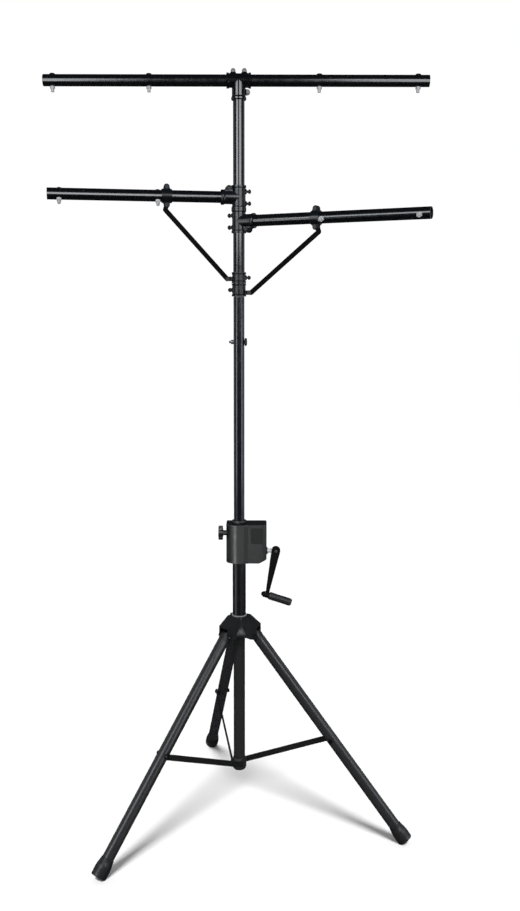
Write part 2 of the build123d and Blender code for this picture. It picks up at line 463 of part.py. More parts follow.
# ---------------- side arms ----------------
def side_arm(prefix, az, z0, reach, ear_up, r_clamp, cw, bolt_rs, bolt_dir, collar_z, collar_h, brace_end):
    L = local(az)
    up = 1 if ear_up else -1
    half, branch, ro = 36.6, 57.0, 21.3
    A = Plane(origin=(0, 0, z0), x_dir=(1, 0, 0), z_dir=(0, 0, 1))
    t = tee_body((half, branch, kit_od / 2, ro, 2.2))
    # pinch ear beside the mast
    ear = rod((32, -11, up * 25.5), (32, 11, up * 25.5), 11.0) + block(21, 43, -11, 11, min(up * 12, up * 25.5), max(up * 12, up * 25.5))
    fillet_pts = [(43, up * 25.5), (55, up * 18), (43, up * 14)]
    web = make_face(Polyline(*[(x, -8, z) for x, z in [(40, up * 27), (54, up * 20), (54, up * 15), (40, up * 15)]], close=True))
    t += ear + extrude(web, 16, dir=(0, 1, 0))
    for s in (-18.5, 18.5):
        t += cone((-19, 0, s), (-24.5, 0, s), 10.0, 7.5)
    t -= rod((0, 0, -60), (0, 0, 60), kit_od / 2 + 0.08)
    t -= rod((19.8, 0, 0), (80, 0, 0), kit_od / 2 + 0.05)
    t -= block(21, 80, -1.2, 1.2, min(up * 15, up * 45), max(up * 15, up * 45))
    t -= rod((32, -30, up * 25.5), (32, 30, up * 25.5), 3.55)
    for s in (-18.5, 18.5):
        t -= rod((0, 0, s), (-40, 0, s), 4.05)
    put("%s_tee" % prefix, L * (A * t))
    fast = []
    e = rod((32, -16, up * 25.5), (32, 16, up * 25.5), 3.5) + hexrod((32, -16.5, up * 25.5), (32, -11.05, up * 25.5), 12) + hexrod((32, 11.05, up * 25.5), (32, 16.0, up * 25.5), 12)
    fast += solids_of(e)
    for s in (-18.5, 18.5):
        fast += solids_of(dome_bolt((-18.5, 0, s), (-31.5, 0, s), (-39.5, 0, s), 4.0, 7.0))
    # two-half clamp on the arm that holds the brace
    c = tube((r_clamp - cw, 0, 0), (r_clamp + cw, 0, 0), 21.6, kit_od / 2 + 0.05)
    for s in (1, -1):
        lobe = rod((r_clamp, -9, s * 27.5), (r_clamp, 9, s * 27.5), 9.3)
        neck = make_face(Polyline(*[(r_clamp + x, -9, s * z) for x, z in [(-13.5, 18.0), (-8.6, 26), (8.6, 26), (13.5, 18.0)]], close=True))
        c += lobe + extrude(neck, 18, dir=(0, 1, 0))
    c -= rod((r_clamp - 30, 0, 0), (r_clamp + 30, 0, 0), kit_od / 2 + 0.05)
    c -= block(r_clamp - 30, r_clamp + 30, -1.0, 1.0, 17.0, 45) + block(r_clamp - 30, r_clamp + 30, -1.0, 1.0, -45, -17.0)
    for s in (1, -1):
        c -= rod((r_clamp, -30, s * 27.5), (r_clamp, 30, s * 27.5), 3.55)
    put("%s_arm_clamp" % prefix, L * (A * c))
    fast += solids_of(rod((r_clamp, -13.5, 27.5), (r_clamp, 14, 27.5), 3.5) + hexrod((r_clamp, -14.0, 27.5), (r_clamp, -9.05, 27.5), 12) + hexrod((r_clamp, 9.05, 27.5), (r_clamp, 14.0, 27.5), 12))
    # brace lies on the rear face of the lower ear
    f = -1 if az > 90 else 1          # side of the arm plane that faces +Y
    y_in, y_out = f * 9.15, f * 13.15
    lowb = rod((r_clamp, -f * 14.5, -27.5), (r_clamp, f * 18.5, -27.5), 3.5)
    lowb += hexrod((r_clamp, f * 13.25, -27.5), (r_clamp, f * 18.5, -27.5), 12) + hexrod((r_clamp, -f * 14.0, -27.5), (r_clamp, -f * 9.05, -27.5), 12)
    fast += solids_of(lowb)
    at = tube((24.0, 0, 0), (reach, 0, 0), kit_od / 2, kit_od / 2 - kit_wall)
    lb = []
    for br in bolt_rs:
        dv = Vector(0, bolt_dir[0], bolt_dir[1]).normalized()
        at -= rod((br - 0.0, -dv.Y * 40, -dv.Z * 40), (br, dv.Y * 40, dv.Z * 40), 5.05)
        lb += solids_of(L * (A * light_bolt((br, 0, 0), (0, dv.Y, dv.Z))))
    put("%s_arm_tube" % prefix, L * (A * at))
    put("%s_light_bolts" % prefix, Compound(children=lb))
    # brace: short upright tab, then a straight flat bar down to the collar's lug
    w = 15.0
    r_e, z_e = brace_end
    z_e -= z0
    p0 = (r_clamp, -27.5)
    p1 = (r_clamp + 4.0, -27.5 - 13.5)
    p2 = (r_e, z_e)
    def strap(a, b):
        sl = sqrt((b[0] - a[0])**2 + (b[1] - a[1])**2)
        an = atan2(b[1] - a[1], b[0] - a[0])
        pl = Plane(origin=(a[0], y_in if f > 0 else y_out, a[1]), x_dir=(cos(an), 0, sin(an)), z_dir=(0, -1, 0))
        sk = pl * Pos(sl / 2, 0) * SlotCenterToCenter(sl, w)
        return extrude(sk, 4.0, dir=(0, 1, 0))
    br_ = strap(p0, p1) + strap(p1, p2)
    br_ -= rod((p0[0], -40, p0[1]), (p0[0], 40, p0[1]), 3.55)
    br_ -= rod((p2[0], -40, p2[1]), (p2[0], 40, p2[1]), 3.55)
    put("%s_brace" % prefix, L * (A * br_))
    # mast collar with a lug for the brace and a set bolt on the far side
    cz = collar_z - z0
    hh = collar_h / 2
    col = turned([(0, cz - hh), (23.2, cz - hh), (23.2, cz - hh + 4), (21.4, cz - hh + 7), (21.4, cz + hh - 7), (23.2, cz + hh - 4), (23.2, cz + hh), (0, cz + hh)], Plane.XY)
    lug = rod((r_e, f * 1.0, z_e), (r_e, f * 9.0, z_e), 7.0) + block(12, r_e, min(f * 1, f * 9), max(f * 1, f * 9), z_e - 7, z_e + 7)
    col += lug
    col += cone((-19, 0, cz), (-24.8, 0, cz), 9.5, 7.0)
    col -= rod((0, 0, cz - 60), (0, 0, cz + 60), kit_od / 2 + 0.08)
    col -= rod((r_e, -40, z_e), (r_e, 40, z_e), 3.55)
    col -= rod((0, 0, cz), (-40, 0, cz), 4.05)
    put("%s_brace_collar" % prefix, L * (A * col))
    fast += solids_of(rod((r_e, -f * 3.5, z_e), (r_e, f * 18.0, z_e), 3.5) + hexrod((r_e, f * 13.25, z_e), (r_e, f * 18.0, z_e), 12) + hexrod((r_e, -f * 4.0, z_e), (r_e, f * 0.95, z_e), 12))
    fast += solids_of(dome_bolt((-18.5, 0, cz), (-30.0, 0, cz), (-38.5, 0, cz), 4.0, 6.6))
    put("%s_arm_fasteners" % prefix, Compound(children=[L * (A * s) for s in fast]))

# the left arm's light bolts lean down and forward, the right arm's point forward
side_arm("left", left_azimuth, z_left_arm, left_reach, True, 227.5, 16.0, (255.5, 557.0), (0.50, -0.87), 1848.9, 33.4, (36.5, 1845.0))
side_arm("right", right_azimuth, z_right_arm, right_reach, False, 264.5, 14.5, (289.0, 594.0), (-0.96, -0.28), 1810.2, 41.0, (37.5, 1801.5))

# ---------------- write ----------------
os.makedirs("parts", exist_ok=True)
for name, shape in parts.items():
    ss = solids_of(shape) if not isinstance(shape, list) else [x for q in shape for x in q.solids()]
    ss = [x.moved(Location((0, 0, -floor_z))) for x in ss]
    out = ss[0] if len(ss) == 1 else Compound(children=ss)
    export_step(out, "parts/%s.step" % name)
print(len(parts), "nodes")
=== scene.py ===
import json
import math
import bpy
import bmesh
from mathutils import Matrix, Vector, noise

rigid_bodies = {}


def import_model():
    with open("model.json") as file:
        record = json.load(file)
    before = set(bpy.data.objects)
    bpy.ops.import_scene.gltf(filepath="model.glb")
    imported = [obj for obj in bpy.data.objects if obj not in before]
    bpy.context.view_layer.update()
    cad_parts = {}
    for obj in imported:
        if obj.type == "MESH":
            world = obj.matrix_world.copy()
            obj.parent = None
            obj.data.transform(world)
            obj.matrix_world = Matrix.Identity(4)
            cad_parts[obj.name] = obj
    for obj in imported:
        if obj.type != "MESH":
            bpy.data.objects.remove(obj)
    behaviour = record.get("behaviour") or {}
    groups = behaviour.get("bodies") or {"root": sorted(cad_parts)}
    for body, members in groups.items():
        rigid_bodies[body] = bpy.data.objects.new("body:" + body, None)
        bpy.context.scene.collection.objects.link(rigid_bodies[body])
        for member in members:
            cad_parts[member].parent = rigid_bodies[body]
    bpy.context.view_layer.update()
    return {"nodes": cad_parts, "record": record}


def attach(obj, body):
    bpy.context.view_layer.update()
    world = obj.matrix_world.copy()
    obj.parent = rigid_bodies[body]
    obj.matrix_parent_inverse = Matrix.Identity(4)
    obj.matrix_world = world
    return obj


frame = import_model()
nodes = frame["nodes"]
scene = bpy.context.scene


# ---------------------------------------------------------------- materials
def srgb(h):
    """Hex colour to linear."""
    out = []
    for i in (0, 2, 4):
        c = int(h[i:i + 2], 16) / 255
        out.append(c / 12.92 if c <= 0.04045 else ((c + 0.055) / 1.055) ** 2.4)
    return out


def mix(a, b, t):
    return [x * (1 - t) + y * t for x, y in zip(a, b)]


class Mat:
    """A small builder for a Principled material with procedural colour, roughness and relief."""

    def __init__(self, name, base, rough=0.5, metal=0.0, spec=0.5, coat=0.0, coat_rough=0.1, sheen=0.0):
        m = bpy.data.materials.new(name)
        m.use_nodes = True
        self.m, self.t = m, m.node_tree
        self.b = self.t.nodes["Principled BSDF"]
        self.base = list(base)
        self.b.inputs["Base Color"].default_value = (*base, 1)
        self.b.inputs["Roughness"].default_value = rough
        self.b.inputs["Metallic"].default_value = metal
        self.b.inputs["Specular IOR Level"].default_value = spec
        self.b.inputs["Coat Weight"].default_value = coat
        self.b.inputs["Coat Roughness"].default_value = coat_rough
        self.b.inputs["Sheen Weight"].default_value = sheen
        self.rough = rough
        self.tc = self.n("ShaderNodeTexCoord")
        self.col = None
        self.h = None

    def n(self, kind, **vals):
        x = self.t.nodes.new(kind)
        for k, v in vals.items():
            setattr(x, k, v)
        return x

    def link(self, a, b):
        self.t.links.new(a, b)

    def coords(self, scale):
        mp = self.n("ShaderNodeMapping")
        mp.inputs["Scale"].default_value = scale
        self.link(self.tc.outputs["Object"], mp.inputs["Vector"])
        return mp.outputs["Vector"]

    def noise(self, scale=(1, 1, 1), size=50, detail=4, rough=0.55, dist=0.0):
        nz = self.n("ShaderNodeTexNoise")
        nz.inputs["Scale"].default_value = size
        nz.inputs["Detail"].default_value = detail
        nz.inputs["Roughness"].default_value = rough
        nz.inputs["Distortion"].default_value = dist
        self.link(self.coords(scale), nz.inputs["Vector"])
        return nz.outputs["Fac"]

    def voronoi(self, scale=(1, 1, 1), size=200, feature="F1"):
        v = self.n("ShaderNodeTexVoronoi", feature=feature)
        v.inputs["Scale"].default_value = size
        self.link(self.coords(scale), v.inputs["Vector"])
        return v.outputs["Distance"]

    def remap(self, src, lo, hi, a=0.0, b=1.0, smooth=False):
        r = self.n("ShaderNodeMapRange", interpolation_type="SMOOTHSTEP" if smooth else "LINEAR")
        r.inputs["From Min"].default_value = lo
        r.inputs["From Max"].default_value = hi
        r.inputs["To Min"].default_value = a
        r.inputs["To Max"].default_value = b
        self.link(src, r.inputs["Value"])
        return r.outputs["Result"]

    def math(self, op, a, b=None):
        x = self.n("ShaderNodeMath", operation=op)
        for i, v in enumerate((a, b)):
            if v is None:
                continue
            if isinstance(v, (int, float)):
                x.inputs[i].default_value = v
            else:
                self.link(v, x.inputs[i])
        return x.outputs[0]

    def tint(self, fac, colour):
        """Mixes colour over what the base is so far, by fac."""
        x = self.n("ShaderNodeMix", data_type="RGBA")
        if self.col is None:
            x.inputs["A"].default_value = (*self.base, 1)
        else:
            self.link(self.col, x.inputs["A"])
        x.inputs["B"].default_value = (*colour, 1)
        self.link(fac, x.inputs["Factor"])
        self.col = x.outputs["Result"]
        self.link(self.col, self.b.inputs["Base Color"])
        return self

    def roughness(self, src):
        self.link(src, self.b.inputs["Roughness"])
        return self

    def metallic(self, src):
        self.link(src, self.b.inputs["Metallic"])
        return self

    def bump(self, src, dist, strength=1.0):
        b = self.n("ShaderNodeBump")
        b.inputs["Distance"].default_value = dist
        b.inputs["Strength"].default_value = strength
        self.link(src, b.inputs["Height"])
        if self.h is not None:
            self.link(self.h, b.inputs["Normal"])
        self.h = b.outputs["Normal"]
        self.link(self.h, self.b.inputs["Normal"])
        return self

    def edge(self, radius=0.0012, samples=4):
        """About 1 on a convex or concave edge and 0 on flat ground."""
        bv = self.n("ShaderNodeBevel", samples=samples)
        bv.inputs["Radius"].default_value = radius
        g = self.n("ShaderNodeNewGeometry")
        d = self.n("ShaderNodeVectorMath", operation="DOT_PRODUCT")
        self.link(bv.outputs["Normal"], d.inputs[0])
        self.link(g.outputs["Normal"], d.inputs[1])
        return self.remap(d.outputs["Value"], 0.93, 0.72, 0.0, 1.0)

    def up(self, lo=0.5, hi=1.0):
        """1 on faces that look up."""
        g = self.n("ShaderNodeNewGeometry")
        s = self.n("ShaderNodeSeparateXYZ")
        self.link(g.outputs["Normal"], s.inputs[0])
        return self.remap(s.outputs["Z"], lo, hi, 0, 1, True)


def gloss_paint(name, base, rough, coat, lighter, orange=0.00006, worn=0.35, rough_cast=None, spec=0.5):
    """Stove paint on steel: faint orange peel, slight mottling, rub marks and thin wear on the edges.
    rough_cast = (z0, dz, dr): ears and lugs more than dz from height z0 and dr from the mast are dull cast metal."""
    m = Mat(name, base, rough, spec=spec, coat=coat, coat_rough=0.07)
    if rough_cast:
        z0, dz, dr = rough_cast
        sp = m.n("ShaderNodeSeparateXYZ")
        m.link(m.tc.outputs["Object"], sp.inputs[0])
        up = m.math("ABSOLUTE", m.math("SUBTRACT", sp.outputs["Z"], z0))
        rad = m.math("SQRT", m.math("ADD", m.math("POWER", sp.outputs["X"], 2), m.math("POWER", sp.outputs["Y"], 2)))
        ear = m.math("MULTIPLY", m.math("GREATER_THAN", up, dz), m.math("GREATER_THAN", rad, dr))
        m.link(m.remap(ear, 0, 1, spec, 0.05), m.b.inputs["Specular IOR Level"])
    m.tint(m.remap(m.noise(size=9, detail=3), 0.35, 0.75, 0.0, 0.6), lighter)
    e = m.math("MULTIPLY", m.edge(0.0009), m.remap(m.noise(size=160, detail=5), 0.50, 0.66, 0.0, worn))
    m.tint(e, [0.16, 0.165, 0.17])
    m.roughness(m.remap(m.noise(size=34, detail=5, rough=0.6), 0.3, 0.75, rough * 0.8, rough * 1.35))
    m.bump(m.noise(size=900, detail=2), orange * 0.25)
    m.bump(m.noise(size=90, detail=2), orange * 0.4, 0.5)
    return m.m


def satin_paint(name, base, rough, lighter, grain=0.00005, spec=0.45, worn=0.4):
    """Satin powder coat: fine grain, soft mottling and rubbed edges."""
    m = Mat(name, base, rough, spec=spec)
    m.tint(m.remap(m.noise(size=14, detail=4), 0.35, 0.75, 0.0, 0.7), lighter)
    m.tint(m.remap(m.noise(size=1500, detail=1), 0.45, 0.75, 0.0, 0.25), [c * 1.6 for c in lighter])
    e = m.math("MULTIPLY", m.edge(0.0010), m.remap(m.noise(size=140, detail=5), 0.48, 0.66, 0.0, worn))
    m.tint(e, [0.13, 0.13, 0.135])
    m.roughness(m.remap(m.noise(size=40, detail=5), 0.3, 0.75, rough * 0.85, rough * 1.2))
    m.bump(m.noise(size=1600, detail=2), grain * 0.4)
    m.bump(m.noise(size=260, detail=2), grain * 0.5, 0.5)
    return m.m


def moulded(name, base, rough, lighter, grain=0.00008, size=1100, spec=0.4, shaded_recess=None):
    """Moulded plastic with a spark-eroded texture and scuffed edges."""
    m = Mat(name, base, rough, spec=spec)
    m.tint(m.remap(m.noise(size=18, detail=4), 0.35, 0.75, 0.0, 0.6), lighter)
    e = m.math("MULTIPLY", m.edge(0.0011), m.remap(m.noise(size=120, detail=5), 0.42, 0.66, 0.0, 0.45))
    m.tint(e, mix(lighter, [0.2, 0.2, 0.2], 0.3))
    m.roughness(m.remap(m.noise(size=50, detail=4), 0.3, 0.75, rough * 0.88, min(1.0, rough * 1.15)))
    if shaded_recess:
        # painted shade: the recessed panel is tinted darker than the rest of the shell, with a mottled noise, standing
        # in for shade in the recess; it also reflects less
        sp = m.n("ShaderNodeSeparateXYZ")
        m.link(m.tc.outputs["Object"], sp.inputs[0])
        f = None
        for axis, lo, hi in shaded_recess:
            for op, v in (("GREATER_THAN", lo), ("LESS_THAN", hi)):
                t = m.math(op, sp.outputs[axis], v)
                f = t if f is None else m.math("MULTIPLY", f, t)
        m.tint(m.math("MULTIPLY", f, m.remap(m.noise(size=45, detail=4), 0.3, 0.7, 0.25, 0.55)), [c * 0.25 for c in base])
        m.link(m.remap(f, 0, 1, spec, spec * 0.6), m.b.inputs["Specular IOR Level"])
    m.bump(m.voronoi(size=size, feature="SMOOTH_F1"), grain)
    m.bump(m.noise(size=size * 0.4, detail=2), grain, 0.5)
    return m.m


def metal(name, base, rough, darker, brushed=(1, 1, 1), worn=0.3, metallic=1.0):
    """Plated or cut metal: directional fine lines, cloudy tarnish and polished edges."""
    m = Mat(name, base, rough, metal=metallic)
    m.tint(m.remap(m.noise(size=60, detail=5), 0.4, 0.7, 0.0, 0.55), darker)
    m.tint(m.math("MULTIPLY", m.edge(0.0006), m.remap(m.noise(size=200, detail=3), 0.35, 0.6, 0.0, worn)), mix(base, [0.9, 0.9, 0.9], 0.3))
    m.roughness(m.remap(m.noise(scale=brushed, size=300, detail=4), 0.3, 0.75, rough * 0.75, rough * 1.4))
    m.bump(m.noise(scale=brushed, size=700, detail=3), 0.00003)
    return m.m


mats = {
    "kit_paint": gloss_paint("kit_paint", srgb("07080b"), 0.17, 0.0, srgb("0a0c0f"), orange=0.00002),
    "lift_paint": gloss_paint("lift_paint", srgb("0c0f16"), 0.20, 0.0, srgb("12151c"), orange=0.00003, worn=0.0),
    "column_paint": satin_paint("column_paint", srgb("0a0a0f"), 0.34, srgb("0f0f14"), spec=0.35),
    "post_paint": satin_paint("post_paint", srgb("202021"), 0.62, srgb("262627"), spec=0.10),
    "leg_paint": satin_paint("leg_paint", srgb("232325"), 0.28, srgb("29292c"), spec=0.27),
    "strut_paint": satin_paint("strut_paint", srgb("141414"), 0.60, srgb("1a1a1a"), spec=0.12),
    "brace_black": satin_paint("brace_black", srgb("060606"), 0.7, srgb("090909"), spec=0.04),
    "crank_black": satin_paint("crank_black", srgb("0a0a0a"), 0.60, srgb("0e0e0e"), spec=0.08),
    "hub_black": moulded("hub_black", srgb("161718"), 0.40, srgb("1c1d1e"), spec=0.3),
    "box_plastic": moulded("box_plastic", srgb("1b1b1c"), 0.42, srgb("262628"), grain=0.00003, size=900, spec=0.5),
    "collar_plastic": moulded("collar_plastic", srgb("1c1c1d"), 0.55, srgb("232324")),
    "knob_plastic": moulded("knob_plastic", srgb("111112"), 0.42, srgb("19191a")),
    "grip_plastic": moulded("grip_plastic", srgb("1e1f20"), 0.50, srgb("262728"), grain=0.00010, size=700),
    "nylon": moulded("nylon", srgb("d6d4cb"), 0.45, srgb("c7c4b8")),
    "ring_grey": moulded("ring_grey", srgb("8c8e90"), 0.50, srgb("7c7e81")),
    "boot_rubber": moulded("boot_rubber", srgb("181819"), 0.42, srgb("1f1f20"), grain=0.00004, size=600, spec=0.38),
    "zinc": metal("zinc", srgb("a0a2a4"), 0.60, srgb("8b8d90"), metallic=0.25),
    "zinc_dark": metal("zinc_dark", srgb("3a3b3e"), 0.40, srgb("242527")),
    "pin_grey": metal("pin_grey", srgb("8e9193"), 0.42, srgb("6c6f72")),
    "inner_zinc": metal("inner_zinc", srgb("7d8083"), 0.42, srgb("65686b"), brushed=(1, 1, 0.05), metallic=0.55),
    "gear_steel": metal("gear_steel", srgb("b0b1b3"), 0.32, srgb("86878a")),
    "bronze": metal("bronze", srgb("b08a4a"), 0.40, srgb("84652f")),
}

def bolt_metal(name, centre):
    """Fixing bolts: plated thread and nut below the bar, blackened heads above it."""
    m = Mat(name, srgb("9b9d9f"), 0.65, metal=0.2, spec=0.25)
    m.tint(m.remap(m.noise(size=60, detail=5), 0.4, 0.7, 0.0, 0.5), srgb("88898b"))
    sp = m.n("ShaderNodeSeparateXYZ")
    m.link(m.tc.outputs["Object"], sp.inputs[0])
    m.tint(m.remap(sp.outputs["Z"], centre[2], centre[2] + 0.002), srgb("0b0c0d"))
    m.link(m.remap(sp.outputs["Z"], centre[2], centre[2] + 0.002, 0.2, 0.0), m.b.inputs["Metallic"])
    m.bump(m.noise(size=700, detail=3), 0.00003)
    return m.m


K = dict(base=srgb("0a0d11"), rough=0.27, coat=0.0, lighter=srgb("0e1216"), orange=0.00002, spec=0.36)
special = {
    "left_tee": gloss_paint("kit_tee_left", rough_cast=(2.0890, 0.0215, 0.0235), **K),
    "right_tee": gloss_paint("kit_tee_right", rough_cast=(2.0156, 0.0215, 0.0235), **K),
    "left_arm_clamp": gloss_paint("kit_clamp_left", rough_cast=(2.0890, 0.0195, 0.05), **K),
    "right_arm_clamp": gloss_paint("kit_clamp_right", rough_cast=(2.0156, 0.0195, 0.05), **K),
    "left_brace_collar": gloss_paint("kit_collar_left", rough_cast=(0.0, 0.01, 0.0242), **K),
    "right_brace_collar": gloss_paint("kit_collar_right", rough_cast=(0.0, 0.01, 0.0242), **K),
    # painted shade: the coordinates below mark the housing's recessed panel, which gets a darker tint in place of shade
    "gearbox_housing": moulded("box_shell", srgb("131314"), 0.40, srgb("1c1c1e"), grain=0.00003, size=900, spec=0.5,
                               shaded_recess=(("X", 0.0385, 0.0795), ("Y", -0.0235, -0.0205), ("Z", 0.984 - 0.0092, 1.036 - 0.0092))),
    "top_tee_bolts": metal("zinc_dull", srgb("7b7d80"), 0.60, srgb("66686b"), metallic=0.4),
    "t_bar_mast": gloss_paint("kit_mast", srgb("07080b"), 0.17, 0.0, srgb("0a0c0f"), orange=0.00002, worn=0.0),
    "crossbar": gloss_paint("kit_bar", srgb("07080b"), 0.19, 0.0, srgb("0a0c0f"), orange=0.00001, worn=0.0),
    "left_arm_tube": gloss_paint("kit_arm_left", srgb("07080b"), 0.19, 0.0, srgb("0a0c0f"), orange=0.00001, worn=0.0),
    "right_arm_tube": gloss_paint("kit_arm_right", srgb("07080b"), 0.19, 0.0, srgb("0a0c0f"), orange=0.00001, worn=0.0),
    "crank_shaft": metal("shaft_zinc", srgb("c9cacb"), 0.50, srgb("b5b6b8"), metallic=0.35),
    "crossbar_bolts": bolt_metal("bolt_zinc", (0, 0, 2.4425)),
    "left_light_bolts": metal("bolt_zinc_left", srgb("bfc1c2"), 0.55, srgb("a6a8aa"), metallic=0.35),
    "right_light_bolts": metal("bolt_zinc_right", srgb("cfd0d1"), 0.50, srgb("b6b8ba"), metallic=0.35),
    "guide_pin": mats["pin_grey"],
    "left_arm_fasteners": satin_paint("bolt_black", srgb("121314"), 0.45, srgb("191a1b"), spec=0.25),
}
special["right_arm_fasteners"] = special["left_arm_fasteners"]

slot_of = {s["node"]: s["material_slot"] for s in frame["record"]["subparts"]}
for name, o in nodes.items():
    m = special.get(name, mats[slot_of[name]])
    if not name.startswith(("leg_", "tripod_hub")):
        o.visible_shadow = False        # the legs alone draw the shadow on the floor
    if o.material_slots:
        for s in o.material_slots:
            s.material = m
    else:
        o.data.materials.append(m)

# ---------------------------------------------------------------- pieces on top of the CAD
def piece(name, verts, faces, mat, body, smooth=True):
    me = bpy.data.meshes.new(name)
    me.from_pydata(verts, [], faces)
    me.update()
    bm = bmesh.new()
    bm.from_mesh(me)
    bmesh.ops.recalc_face_normals(bm, faces=bm.faces)
    bm.to_mesh(me)
    bm.free()
    if smooth:
        for f in me.polygons:
            f.use_smooth = True
    o = bpy.data.objects.new(name, me)
    scene.collection.objects.link(o)
    me.materials.append(mats[mat])
    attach(o, body)
    return o


Z0 = -0.0092        # the drawing datum of the heights below
LEGS = (("left", -137.57), ("right", -17.57), ("rear", 102.43))


def hub_web(name, az):
    """The moulded web between two of the hub's brackets, a shallow bowed shell."""
    prof = [(0.7335, 0.0262), (0.7290, 0.0285), (0.7200, 0.0299), (0.7100, 0.0303), (0.7000, 0.0308), (0.6930, 0.0325),
            (0.6870, 0.0352), (0.6810, 0.0382), (0.6750, 0.0405), (0.6695, 0.0410), (0.6645, 0.0388), (0.6615, 0.0340), (0.6610, 0.0290)]
    n = 22
    verts, faces = [], []
    for z, r in prof:
        for k in range(n + 1):
            t = -1 + 2 * k / n
            a = math.radians(az + 31 * t)
            # bowed across as well, so the middle stands out a little
            rr = r - 0.0018 * t * t
            verts.append((rr * math.cos(a), rr * math.sin(a), z + Z0))
    base = len(verts)
    for z, r in prof:
        for k in range(n + 1):
            a = math.radians(az + 31 * (-1 + 2 * k / n))
            verts.append((0.0252 * math.cos(a), 0.0252 * math.sin(a), z + Z0))
    w = n + 1
    m = len(prof)
    for off in (0, base):
        for i in range(m - 1):
            for k in range(n):
                faces.append((off + i * w + k, off + i * w + k + 1, off + (i + 1) * w + k + 1, off + (i + 1) * w + k))
    for k in range(n):
        faces.append((k, k + 1, base + k + 1, base + k))
        e = (m - 1) * w
        faces.append((e + k, e + k + 1, base + e + k + 1, base + e + k))
    for i in range(m - 1):
        for c in (0, n):
            faces.append((i * w + c, (i + 1) * w + c, base + (i + 1) * w + c, base + i * w + c))
    return piece(name, verts, faces, "hub_black", "column")


for i, a in enumerate((-77.57, 42.43, 162.43)):
    hub_web("hub_web_%d" % (i + 1), a)


def thread(name, c, d, r, length, mat, body, pitch=0.0015, depth=0.0005):
    """A helical thread as real relief round a bolt's free end, with a chamfered tip."""
    c, d = Vector(c), Vector(d).normalized()
    u = d.orthogonal().normalized()
    v = d.cross(u)
    seg = 20
    steps = int(length / pitch * 4)
    verts, faces = [], []
    for i in range(steps + 1):
        h = length * i / steps
        for k in range(seg):
            a = 2 * math.pi * k / seg
            ph = (h / pitch - k / seg) % 1.0
            rr = r + 0.0001 + depth * (1 - abs(2 * ph - 1))
            tip = max(0.0, (h - (length - 0.0012)) / 0.0012)
            rr -= tip * 0.0009
            verts.append(c + d * h + u * (rr * math.cos(a)) + v * (rr * math.sin(a)))
    for i in range(steps):
        for k in range(seg):
            k2 = (k + 1) % seg
            faces.append((i * seg + k, i * seg + k2, (i + 1) * seg + k2, (i + 1) * seg + k))
    faces.append(tuple(range(seg)))
    faces.append(tuple(steps * seg + k for k in range(seg)))
    return piece(name, [tuple(x) for x in verts], faces, mat, body)


for k, x in enumerate((-0.5794, -0.2794, 0.2506, 0.5576)):
    thread("crossbar_thread_%d" % (k + 1), (x, 0, 2.4517 - 0.025 + Z0), (0, 0, -1), 0.005, 0.0103, "zinc", "t_bar")
for side, az, z, rs, bd in (("left", 188.94, 2.0982, (0.2555, 0.557), (0.50, -0.87)), ("right", -25.37, 2.0248, (0.289, 0.594), (-0.96, -0.28))):
    u = Vector((math.cos(math.radians(az)), math.sin(math.radians(az)), 0))
    t = Vector((-u.y, u.x, 0))
    dv = (t * bd[0] + Vector((0, 0, bd[1]))).normalized()
    for k, r in enumerate(rs):
        thread("%s_arm_thread_%d" % (side, k + 1), u * r + Vector((0, 0, z + Z0)) + dv * 0.025, dv, 0.005, 0.0103, "zinc", side + "_arm")


def ring(name, c, d, prof, mat, body, seg=48, lobes=0, amp=0.0):
    """A turned band: prof is (radius, height) round the line from c along d, closed on itself."""
    c, d = Vector(c), Vector(d).normalized()
    u = d.orthogonal().normalized()
    v = d.cross(u)
    verts, faces = [], []
    n = len(prof)
    for k in range(seg):
        a = 2 * math.pi * k / seg
        s = 1 + (amp * math.cos(lobes * a) if lobes else 0)
        for r, h in prof:
            verts.append(tuple(c + d * h + u * (r * s * math.cos(a)) + v * (r * s * math.sin(a))))
    for k in range(seg):
        k2 = (k + 1) % seg
        for i in range(n):
            j = (i + 1) % n
            faces.append((k * n + i, k2 * n + i, k2 * n + j, k * n + j))
    return piece(name, verts, faces, mat, body)


# moulded rings round each boot and a rolled lip where it grips the leg
ta = math.radians(51.48)
for side, az in LEGS:
    u = Vector((math.cos(math.radians(az)), math.sin(math.radians(az)), 0))
    o0 = u * 0.060 + Vector((0, 0, 0.672 + Z0))
    d = u * math.cos(ta) + Vector((0, 0, -math.sin(ta)))
    for i, (h, r) in enumerate(((0.7715, 0.0204), (0.7775, 0.0212), (0.802, 0.0246), (0.808, 0.0246), (0.814, 0.0246))):
        w, e = 0.0016, 0.0006
        prof = [(r - 0.002, h - w), (r + e * 0.6, h - w), (r + e, h - w * 0.5), (r + e, h + w * 0.5), (r + e * 0.6, h + w), (r - 0.002, h + w)]
        ring("boot_rib_%s_%d" % (side, i + 1), o0, d, prof, "boot_rubber", "leg_%s_body" % side).visible_shadow = False

# bush flange where the lift tube enters the crank box, with a small round on its rim
zt = 1.047 + Z0
ring("box_bush_flange", (0, 0, 0), (0, 0, 1), [(0.0179, zt - 0.0015), (0.0236, zt - 0.0015), (0.0236, zt + 0.0108), (0.0232, zt + 0.0118), (0.0224, zt + 0.0122), (0.0179, zt + 0.0122)],
     "box_plastic", "column", seg=72)

# raised rings of the crank grip
gs, lean = math.radians(18.0), math.radians(11.0)
pin = Vector((0.1224, 0.020, 0.975 - math.sqrt(0.0263 ** 2 - 0.0087 ** 2) + Z0))
end = pin + Vector((-math.sin(lean), 0, -math.cos(lean))) * 0.1555
gd = Vector((math.cos(gs), 0, -math.sin(gs)))
for i in range(13):
    h = 0.0155 + i * 0.0052
    r = 0.01235
    prof = [(r - 0.001, h - 0.0015), (r + 0.0003, h - 0.0015), (r + 0.0007, h - 0.0006), (r + 0.0007, h + 0.0006), (r + 0.0003, h + 0.0015), (r - 0.001, h + 0.0015)]
    ring("grip_ring_%02d" % (i + 1), end, gd, prof, "grip_plastic", "grip", seg=40)

